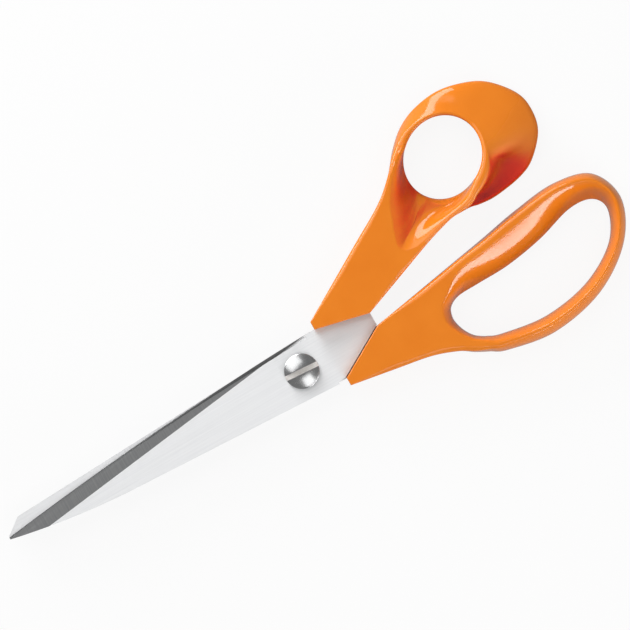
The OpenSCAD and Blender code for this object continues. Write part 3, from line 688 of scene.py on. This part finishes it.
def blade_steel():
    """Satin flats brushed along the blade, and bevels ground across it whose darker colour is a painted dark
    reflection.
    """
    nodes = Nodes(bpy.data.materials.new("blade_steel"))
    along = nodes.noise((40, 3200, 3200), detail=4, rough=0.6)
    across = nodes.noise((3600, 60, 60), detail=4, rough=0.6)
    flat = nodes.most(nodes.rise(nodes.upright(), SATIN_FACES), heel_of_bevel(nodes))
    nodes.set(
        # The ground faces take the painted dark reflection, the flats the satin colour.
        Base_Color=nodes.mix(flat, nodes.vary(across, GROUND_PAINTED_DARK), nodes.vary(along, SATIN)),
        Metallic=1.0,
        Roughness=nodes.blend(flat, nodes.spread(across, 0.3, 0.4), nodes.spread(along, 0.55, 0.66)),
        Anisotropic=0.8,
        Anisotropic_Rotation=nodes.blend(flat, 0.25, 0.0),
        Tangent=nodes.add("ShaderNodeTangent", direction_type="RADIAL", axis="X").outputs["Tangent"],
        Normal=nodes.bump(nodes.blend(flat, across, along), 0.06),
    )
    return nodes.owner


def screw_steel():
    """Polished head with a paler, duller slot."""
    nodes = Nodes(bpy.data.materials.new("screw_steel"))
    haze = nodes.noise((700, 700, 700), detail=4)
    slot = nodes.fall(nodes.from_line(SLOT_TURN), (0.49 * SLOT_W * MM, 0.51 * SLOT_W * MM))
    nodes.set(
        Base_Color=nodes.mix(slot, nodes.vary(haze, POLISHED), nodes.vary(haze, SLOT_CUT)),
        Metallic=nodes.spread(slot, 1, 0.3, start=0, end=1),
        Roughness=nodes.blend(slot, nodes.spread(haze, 0.2, 0.28), nodes.spread(haze, 0.5, 0.65)),
        Normal=nodes.bump(nodes.noise((2500, 2500, 2500)), 0.03),
    )
    return nodes.owner


def small_steel():
    nodes = Nodes(bpy.data.materials.new("small_steel"))
    haze = nodes.noise((900, 900, 2400), detail=4)
    nodes.set(
        Base_Color=nodes.vary(haze, PLATED),
        Metallic=1.0,
        Roughness=nodes.spread(haze, 0.25, 0.4),
        Normal=nodes.bump(haze, 0.05),
    )
    return nodes.owner


def nylon():
    nodes = Nodes(bpy.data.materials.new("nylon"))
    cloud = nodes.noise((1200, 1200, 1200))
    nodes.set(
        Base_Color=nodes.vary(cloud, NYLON),
        Roughness=nodes.spread(cloud, 0.45, 0.6),
        Normal=nodes.bump(cloud, 0.05),
    )
    return nodes.owner


def finish_solid(node, material, edge):
    """A solid keeps its shape and gets its finish and softly broken edges."""
    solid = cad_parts[node]
    solid.data.materials.clear()
    solid.data.materials.append(material)
    weld = solid.modifiers.new("weld", "WELD")
    weld.merge_threshold = WELD_NEAR * MM
    bevel = solid.modifiers.new("edge", "BEVEL")
    bevel.width = edge * MM
    bevel.segments = 2
    bevel.limit_method = "ANGLE"
    bevel.angle_limit = math.radians(EDGE_ANGLE)
    bevel.harden_normals = False


def dress():
    # The thumb grip gets painted shade in its hollows, the finger grip none.
    for node, body, sections, paints_hollow_shade in (
        ("thumb_handle", "thumb_half", thumb_sections(), True),
        ("finger_handle", "finger_half", finger_sections(), False),
    ):
        name = node.replace("handle", "grip")
        piece = loft(name, *sections)
        piece.data.materials.append(handle_plastic(name, paints_hollow_shade))
        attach(piece, body)
        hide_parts(node)
    steel = blade_steel()
    finish_solid("thumb_blade", steel, edge=0.06)
    finish_solid("finger_blade", steel, edge=0.06)
    finish_solid("pivot_screw", screw_steel(), edge=0.08)
    plated = small_steel()
    finish_solid("spring_washer", plated, edge=0.05)
    finish_solid("pivot_nut", plated, edge=0.15)
    finish_solid("lock_ring", nylon(), edge=0.05)


def camera():
    data = bpy.data.cameras.new("camera")
    data.sensor_width = 36
    data.lens = data.sensor_width * (CAMERA_HEIGHT - SHANK_TOP * MM) / FIELD
    data.clip_end = 10
    seen = new_object("camera", data)
    turn = Matrix((IMAGE_RIGHT, IMAGE_UP, IMAGE_RIGHT.cross(IMAGE_UP))).transposed()
    seen.matrix_world = Matrix.Translation((*CAMERA_OVER, CAMERA_HEIGHT)) @ turn.to_4x4()
    bpy.context.scene.camera = seen


def soft_box(name, azimuth, elevation, distance, size, glow):
    """Lamp panel that faces the middle of the picture; azimuth runs anticlockwise in it from its right."""
    a, e = math.radians(azimuth), math.radians(elevation)
    flat = IMAGE_RIGHT * math.cos(a) + IMAGE_UP * math.sin(a)
    direction = flat * math.cos(e) + Vector((0, 0, math.sin(e)))
    data = bpy.data.lights.new(name, "AREA")
    data.shape = "RECTANGLE"
    data.size, data.size_y = size
    data.energy = glow * math.pi * size[0] * size[1]
    lamp = new_object(name, data)
    lamp.location = Vector((*CAMERA_OVER, 0)) + direction * distance
    lamp.rotation_mode = "QUATERNION"
    lamp.rotation_quaternion = direction.to_track_quat("Z", "Y")
    lamp.visible_camera = False


def studio():
    """Two low lamps for the highlights, two high ones for even light, and a grey world."""
    soft_box("left", azimuth=131, elevation=15, distance=0.7, size=(0.7, 0.3), glow=7)
    soft_box("right", azimuth=-38, elevation=11, distance=0.7, size=(0.6, 0.12), glow=9.5)
    soft_box("high_left", azimuth=139, elevation=51, distance=0.8, size=(0.72, 0.56), glow=1.72)
    soft_box("high_right", azimuth=-54, elevation=50, distance=0.8, size=(0.46, 0.54), glow=1.82)
    world = bpy.data.worlds.new("studio")
    bpy.context.scene.world = world
    nodes = Nodes(world, "Background")
    height = nodes.axes(nodes.coordinates("Generated"))["Z"]
    brightness = {"Value": height, "From Max": SKY_EVEN, "To Min": SKY_HORIZON, "To Max": SKY_ZENITH}
    sky = nodes.add("ShaderNodeMapRange", brightness, interpolation_type="SMOOTHERSTEP")
    nodes.set(Color=(1, 1, 1, 1), Strength=sky.outputs["Result"])


def floor():
    """Pale floor that shows white to the camera and in part to the gloss, and keeps a soft shadow."""
    corners = [(x * FLOOR_HALF, y * FLOOR_HALF, 0) for x, y in ((-1, -1), (1, -1), (1, 1), (-1, 1))]
    mesh = bpy.data.meshes.new("floor")
    mesh.from_pydata(corners, [], [(0, 1, 2, 3)])
    plane = new_object("floor", mesh)
    plane.location.z = FLOOR_LEVEL
    nodes = Nodes(bpy.data.materials.new("floor"))
    rays = nodes.add("ShaderNodeLightPath").outputs
    seen = rays["Is Camera Ray"]
    for kind, weight in (("Is Glossy Ray", FLOOR_IN_GLOSS), ("Is Transmission Ray", 1.0)):
        seen = nodes.math("MULTIPLY_ADD", rays[kind], weight, seen, use_clamp=True)
    nodes.set(Base_Color=nodes.mix(seen, FLOOR_LIT, FLOOR_SEEN), Roughness=0.9, Specular_IOR_Level=0.1)
    white = nodes.add("ShaderNodeEmission").outputs[0]
    surface = {0: nodes.times(seen, FLOOR_WHITE), 1: nodes.shader.outputs[0], 2: white}
    shown = nodes.add("ShaderNodeMixShader", surface).outputs[0]
    nodes.feed(nodes.tree.nodes["Material Output"].inputs["Surface"], shown)
    mesh.materials.append(nodes.owner)


camera()
dress()
studio()
floor()
bpy.context.scene.view_settings.view_transform = "Standard"
